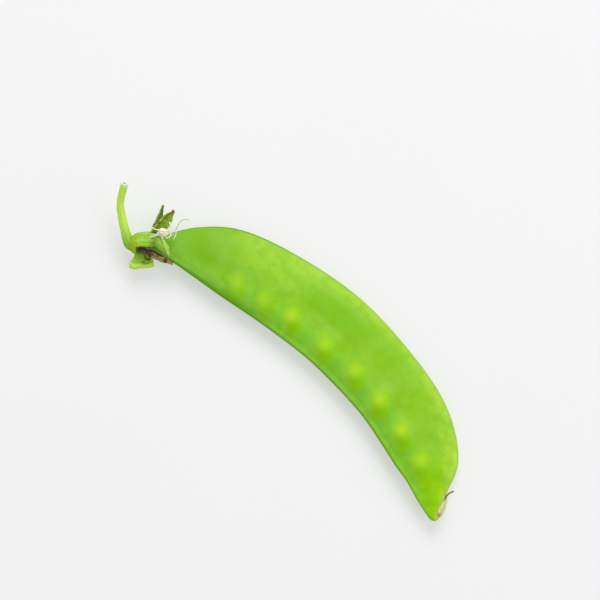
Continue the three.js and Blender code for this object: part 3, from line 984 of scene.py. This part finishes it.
def add_sepal(s, sculpt, shape, seed):
    """One sepal from the foot of the cup to its tip."""
    first, last = shape["angles"]
    midrib = Line(shape["midrib"])
    rows = CUP_ROWS + BLADE_ROWS
    torn = first > 90
    for vert, across, share in sculpt.sheet(LOBE_STEPS, rows):
        row = round(share * rows)
        degrees = first + (across + 0.5) * (last - first)
        if torn and row > FOOT_ROWS:
            tear = (0.5 - across) ** 6 * smooth(FOOT_ROWS, FOOT_ROWS + 3, row)
            degrees += tear * TEAR_WANDER * wander((row * 0.35, 0, 3), 1.0)
        cup, rib = cup_place(s, degrees, min(row / CUP_ROWS, 1.0))
        reach = clamp((row - CUP_ROWS) / BLADE_ROWS)
        spot, wither = cup, 0.0
        if reach > 0:
            blade, vein = blade_place(s, shape, midrib, across, reach, seed)
            ahead = cup + Vector((RUN_ON, 0.5 * cup.y, 0.5 * cup.z)) * reach
            ease = smooth(0.0, JOIN, reach)
            spot = ahead.lerp(blade, ease)
            rib += (vein - rib) * ease
            wither = between(shape["wither"], reach)
        edge = smooth(0.4, 0.5, abs(across)) * smooth(0.0, 0.1, reach)
        dark_side = shape.get("dark_side", 0.0) * smooth(0.0, -0.4, across)
        shade = (shape["shade"] + dark_side) * smooth(0.0, 0.25, reach)
        pale = 0.35 * edge
        if torn:
            burnt = 0.95 * smooth(0.36, 0.48, -across) * smooth(12, 22, row)
            wither = max(wither, burnt * (1 - smooth(0.3, 0.6, reach)))
            # Painted shade: dark green laid in the dip beside the sepal over the neck, towards its
            # torn side.
            shade = 0.85 * bell(spot.x, 5.0, 1.1) * smooth(0.3, 0.0, across)
            pale = 0.8 * edge + 0.2 * smooth(0.1, 0.4, reach)
        wither += 0.2 * dark_side * smooth(0.05, 0.2, reach)
        cloud = smooth(-0.2, 0.6, wander((degrees / 30, cup.x, 0), 0.8))
        rust = smooth(1.7, 0.2, cup.x) * (1 - smooth(0.0, 0.1, reach)) * (
            0.1 + 0.3 * cloud + 0.6 * smooth(60, 105, degrees))
        rust = max(rust, shape.get("olive", 0.0) * smooth(0.0, 0.3, reach))
        sculpt.place(
            vert, from_calyx(spot), (row * ROW_STEP, across * LOBE_WIDTH + seed, 0),
            wither=wither, pale=pale, shade=shade, rust=rust,
            rib=rib * smooth(0.5, 1.5, cup.x) * (1 - 0.7 * shade))


def add_foot(s, sculpt):
    """The part of the cup's foot below the torn gap, with a ragged upper edge."""
    first, last = FOOT_ANGLES
    for vert, across, share in sculpt.sheet(LOBE_STEPS + 8, FOOT_ROWS):
        row = share * FOOT_ROWS
        degrees = first + (across + 0.5) * (last - first)
        spot, rib = cup_place(s, degrees, row / CUP_ROWS)
        inside = 1 - abs(2 * across) ** 6
        spot.x += 0.35 * inside * share ** 3 * (wander((across * 9, 0, 0), 0.8) - 0.3)
        sculpt.place(
            vert, from_calyx(spot), (row * ROW_STEP, across * 6, 0),
            wither=0.3 * smooth(0.7, 1.0, share) * smooth(0.2, -0.1, across),
            rib=rib * smooth(0.5, 1.5, spot.x), rust=0.5 * smooth(1.5, 0.2, spot.x))


def add_flap(s, sculpt):
    """The peeled part of the cup, unrolled below the seam, with its end rolled under."""
    midrib = Line(FLAP["midrib"])
    rolled = FLAP["roll"]
    hinge_rows = CUP_ROWS - FOOT_ROWS
    out = midrib.along(0)
    for vert, across, share in sculpt.sheet(hinge_rows, FLAP["rows"]):
        row = CUP_ROWS - (across + 0.5) * hinge_rows
        hinge = cup_place(s, FLAP["hinge"], row / CUP_ROWS)[0]
        middle, sideways, inner = blade_frame(FLAP, midrib, share)
        width = between(FLAP["widths"], share)
        fold = math.cos(2 * math.pi * FLAP["folds"] * across) * (1 - smooth(0.3, 0.5, share))
        lift = FLAP["curl"] * (2 * across) ** 2 + FLAP["fold_rise"] * fold
        for rise, fine, along, layer, begin in FLAP["waves"]:
            wave = wander((across * fine, share * along, layer), 1.0)
            lift += rise * wave * smooth(begin, 0.5, share)
        reach = -FLAP["corners"] * abs(2 * across) ** 5
        for rise, fine, layer in FLAP["end"]:
            reach += rise * wander((across * fine, 0, layer), 1.0)
        blade = middle + sideways * across * width + inner * lift
        blade += out * reach * smooth(0.15, 0.5, share)
        spot = (hinge + out * FLAP["run_on"] * share).lerp(blade, smooth(0.0, 0.3, share))
        margin = max(smooth(rolled - 0.04, rolled + 0.1, share), smooth(0.4, 0.5, abs(across)))
        begun = smooth(0.05, 0.15, share)
        dark = begun * smooth(0.0, 0.3, wander((across * 9, share * 12, 5), 0.9))
        dark *= (1 - smooth(rolled - 0.1, rolled, share)) * smooth(0.15, -0.15, across)
        # Pale mottling of the flap's own tissue, laid strongly enough to be partly painted light in
        # the cup's shadow.
        flecks_and_painted_light = 0.6 + 0.35 * wander((across * 13, share * 18, 9), 0.9)
        # Painted light: the left part, most shaded by the cup, is made paler still.
        flecks_and_painted_light += 0.35 * smooth(-0.2, 0.3, across)
        sculpt.place(
            vert, from_calyx(spot), (share * 7, across * 5, 0), wither=0.4 * dark,
            rib=max(fold, 0.0) ** 2 * 0.6, pale=max(0.95 * margin, flecks_and_painted_light * begun * (1 - dark)),
            shade=dark)


class SNOWPEA_OT_calyx(bpy.types.Operator):
    """Builds the calyx: a ribbed cup, torn open below, with its sepals and a peeled flap"""
    bl_idname = "snowpea.calyx"
    bl_label = "Calyx"

    def execute(self, context):
        s = context.scene.snow_pea.calyx
        sculpt = Sculpt(("wither", "rib", "pale", "shade", "rust"))
        for seed, shape in enumerate(SEPALS.values()):
            add_sepal(s, sculpt, shape, 5 * seed)
        add_foot(s, sculpt)
        add_flap(s, sculpt)
        sculpt.finish("calyx_leaves", calyx_material(s), "calyx", wall=s.wall)
        return {"FINISHED"}


# ---- the stalk and the remains of the flower ------------------------------

class SNOWPEA_OT_stalk(bpy.types.Operator):
    """Builds the cut stalk that bends away from the foot of the calyx"""
    bl_idname = "snowpea.stalk"
    bl_label = "Stalk"

    def execute(self, context):
        s = context.scene.snow_pea.stalk
        sculpt = Sculpt(("end", "cut"))
        line = Line(STALK_LINE)

        def ridges(share, angle):
            rise = s.ridge / MM * math.cos(STALK_RIDGES * angle + 2 * share)
            return rise + 0.05 * wander((20 * share, math.cos(angle), math.sin(angle)), 1.6)

        sculpt.tube(
            line, STALK_RADII, 48, 200, cap=4, ridges=ridges,
            end=lambda share, angle, inset: share,
            cut=lambda share, angle, inset: (1 - inset) * (share > 0.5))
        sculpt.finish("cut_stalk", stalk_material(s), "pedicel", sharp=50)
        return {"FINISHED"}


def add_sheath(sculpt):
    """The crumpled sheath round the stamens."""
    for vert, share, angle in sculpt.ball(56, 56):
        turn = share * math.pi
        ring = math.sin(turn)
        unit = Vector((math.cos(turn), ring * math.cos(angle), ring * math.sin(angle)))
        drawn = SHEATH_FOLDS * unit
        fold = abs(wander(drawn, 1.0)) + 0.25 * abs(wander(2.4 * drawn, 1.0, 4))
        spot = SHEATH_MIDDLE + SHEATH_RADII * unit * (0.82 + 0.75 * fold)
        sculpt.place(vert, from_calyx(spot), stain=smooth(0.25, 0.05, fold))


def add_thread(sculpt, root, tip, green, anther, places):
    """One dried filament, with its anther if that is left."""
    line = Line([from_calyx(place) for place in places])
    sculpt.tube(
        line, (root, tip), 10, 64,
        ridges=lambda share, angle: 0.02 * wander((share * 20, angle, 0), 1.0),
        stain=lambda share, angle, inset: share,
        green=lambda share, angle, inset: green * smooth(0.0, 0.25, share))
    if not anther:
        return
    ahead = line.along(1)
    beside = ahead.cross(Vector((0, 0, 1)))
    for vert, share, angle in sculpt.ball(12, 10):
        out = Vector((0, 0, math.sin(angle))) + beside * math.cos(angle)
        spot = line.at(1) + ahead * math.cos(share * math.pi) * ANTHER_LONG
        sculpt.place(vert, spot + out * math.sin(share * math.pi) * ANTHER_WIDE, stain=0.8)


class SNOWPEA_OT_stamens(bpy.types.Operator):
    """Builds the crumpled stamen sheath and its dried filaments"""
    bl_idname = "snowpea.stamens"
    bl_label = "Stamens"

    def execute(self, context):
        sculpt = Sculpt(("stain", "green"))
        add_sheath(sculpt)
        for thread in THREADS:
            add_thread(sculpt, *thread)
        material = cream_material(context.scene.snow_pea.flower)
        sculpt.finish("stamen_remains", material, "stamens")
        return {"FINISHED"}


class SNOWPEA_OT_petal(bpy.types.Operator):
    """Builds the withered petal that comes out of the tear in the calyx"""
    bl_idname = "snowpea.petal"
    bl_label = "Withered Petal"

    def execute(self, context):
        s = context.scene.snow_pea.flower
        sculpt = Sculpt(("crease", "end"))
        midrib = Line(PETAL["midrib"])
        for vert, across, share in sculpt.sheet(30, 90):
            middle, sideways, inner = blade_frame(PETAL, midrib, share)
            width = between(PETAL["widths"], share) * math.sqrt(max(1 - share ** 8, 0.02))
            width *= 1 + PETAL["ragged"] * wander((across * 2, share * 12, 2), 1.0)
            bent = 4 * wander((share * 5, 0, 0), 1.0)
            pleat = math.cos(2 * math.pi * PETAL["pleats"] * across + bent)
            crush = wander((across * 3, share * 11, 7), 0.8)
            lift = PETAL["curl"] * (2 * across) ** 2 * (1 - share ** 3)
            lift += PETAL["pleat_rise"] * pleat + PETAL["crush_rise"] * crush
            spot = middle + sideways * across * width + inner * lift
            crease = clamp(smooth(0.0, 1.0, pleat) * 0.6 + 0.7 * smooth(0.0, 0.4, crush))
            crease *= 1 - 0.75 * smooth(0.4, 0.6, share)
            dark = smooth(-0.05, -0.3, across) * smooth(0.75, 0.55, share)
            sculpt.place(
                vert, from_calyx(spot), end=smooth(0.35, 0.6, share),
                crease=max(crease, dark) + 0.5 * bell(share, 0.74, 0.05))
        wall = PETAL["wall"] * MM
        sculpt.finish("petal_scrap", petal_material(s), "petal_remnant", wall=wall)
        return {"FINISHED"}


class SNOWPEA_OT_style(bpy.types.Operator):
    """Builds the dried style that curls back from the tip of the pod"""
    bl_idname = "snowpea.style"
    bl_label = "Dried Style"

    def execute(self, context):
        s = context.scene.snow_pea.flower
        sculpt = Sculpt(("stain", "end"))
        line = Line(STYLE_LINE)
        rings, cap = 110, 2
        frames = line.frames(rings)
        for vert, share, angle in sculpt.ball(24, rings):
            middle, across, up = frames[round(share * rings)]
            inset = clamp(min(share, 1 - share) * rings / cap)
            broad = between(STYLE_BROAD, share) * inset * math.cos(angle)
            thin = between(STYLE_THIN, share) * inset * math.sin(angle)
            turn = Matrix.Rotation(STYLE_TWIST * share, 3, line.along(share))
            out = turn @ (across * broad + up * thin)
            side = out.dot(STYLE_OUTWARD)
            hook = smooth(0.5, 0.7, share)
            scar = smooth(0.3, 0.18, share) * smooth(0.2, -0.1, side)
            sculpt.place(
                vert, middle + out,
                stain=bell(side, 0.08, 0.24) * between(STYLE_STAIN, share) * (1 - hook),
                end=max(hook * smooth(0.16, -0.04, out.x), 0.6 * scar))
        sculpt.finish("dried_style", style_material(s), "style")
        return {"FINISHED"}


# ---- the stage -----------------------------------------------------------

class SNOWPEA_OT_stage(bpy.types.Operator):
    """Builds the floor, the soft lights and the camera that looks straight down"""
    bl_idname = "snowpea.stage"
    bl_label = "Stage"

    def execute(self, context):
        s = context.scene.snow_pea.stage
        scene = context.scene
        bm = bmesh.new()
        bmesh.ops.create_grid(bm, x_segments=4, y_segments=4, size=FLOOR_HALF)
        mesh = bpy.data.meshes.new("floor")
        bm.to_mesh(mesh)
        bm.free()
        mesh.materials.append(floor_material(s))
        floor = bpy.data.objects.new("floor", mesh)
        scene.collection.objects.link(floor)

        middle = VIEW_MIDDLE * MM
        right = Vector((math.cos(s.turn), math.sin(s.turn), 0))
        top = Vector((-right.y, right.x, 0))
        camera_data = bpy.data.cameras.new("camera")
        camera_data.lens = s.lens
        camera_data.sensor_width = SENSOR
        camera = bpy.data.objects.new("camera", camera_data)
        camera.location = middle + Vector((0, 0, s.view_width * s.lens / SENSOR))
        camera.rotation_euler = (0, 0, s.turn)
        scene.collection.objects.link(camera)
        scene.camera = camera

        for name, (to_right, to_top, up, size, power) in LAMPS.items():
            data = bpy.data.lights.new(name, "AREA")
            data.shape = "SQUARE"
            data.size = size
            data.energy = s.key * power
            lamp = bpy.data.objects.new(name, data)
            away = right * to_right + top * to_top + Vector((0, 0, up))
            lamp.location = middle + away
            lamp.rotation_euler = (-away).to_track_quat("-Z", "Y").to_euler()
            scene.collection.objects.link(lamp)

        world = bpy.data.worlds.new("room")
        world.use_nodes = True
        background = world.node_tree.nodes["Background"]
        background.inputs["Color"].default_value = (1.0, 1.0, 1.0, 1.0)
        background.inputs["Strength"].default_value = s.room
        scene.world = world
        scene.view_settings.view_transform = "Standard"
        return {"FINISHED"}


# ---- the add-on ----------------------------------------------------------

class SNOWPEA_PT_panel(bpy.types.Panel):
    """Lists the steps that build the pod"""
    bl_idname = "SNOWPEA_PT_panel"
    bl_label = "Snow Pea Pod"
    bl_space_type = "VIEW_3D"
    bl_region_type = "UI"
    bl_category = "Snow Pea"

    def draw(self, context):
        settings = context.scene.snow_pea
        for part in ("pod", "calyx", "stalk", "flower", "stage"):
            box = self.layout.box()
            box.label(text=part.title())
            group_settings = getattr(settings, part)
            for key in group_settings.__annotations__:
                box.prop(group_settings, key)
        for step in STEPS:
            self.layout.operator(step.bl_idname)


STEPS = (SNOWPEA_OT_pod, SNOWPEA_OT_calyx, SNOWPEA_OT_stalk, SNOWPEA_OT_stamens,
         SNOWPEA_OT_petal, SNOWPEA_OT_style, SNOWPEA_OT_stage)
CLASSES = (PodSettings, CalyxSettings, StalkSettings, FlowerSettings, StageSettings,
           SnowPeaSettings, *STEPS, SNOWPEA_PT_panel)


def register():
    for made in CLASSES:
        bpy.utils.register_class(made)
    bpy.types.Scene.snow_pea = bpy.props.PointerProperty(type=SnowPeaSettings)


def unregister():
    del bpy.types.Scene.snow_pea
    for made in reversed(CLASSES):
        bpy.utils.unregister_class(made)


def main():
    register()
    bpy.ops.snowpea.pod()
    bpy.ops.snowpea.calyx()
    bpy.ops.snowpea.stalk()
    bpy.ops.snowpea.stamens()
    bpy.ops.snowpea.petal()
    bpy.ops.snowpea.style()
    bpy.ops.snowpea.stage()


if __name__ == "__main__":
    main()
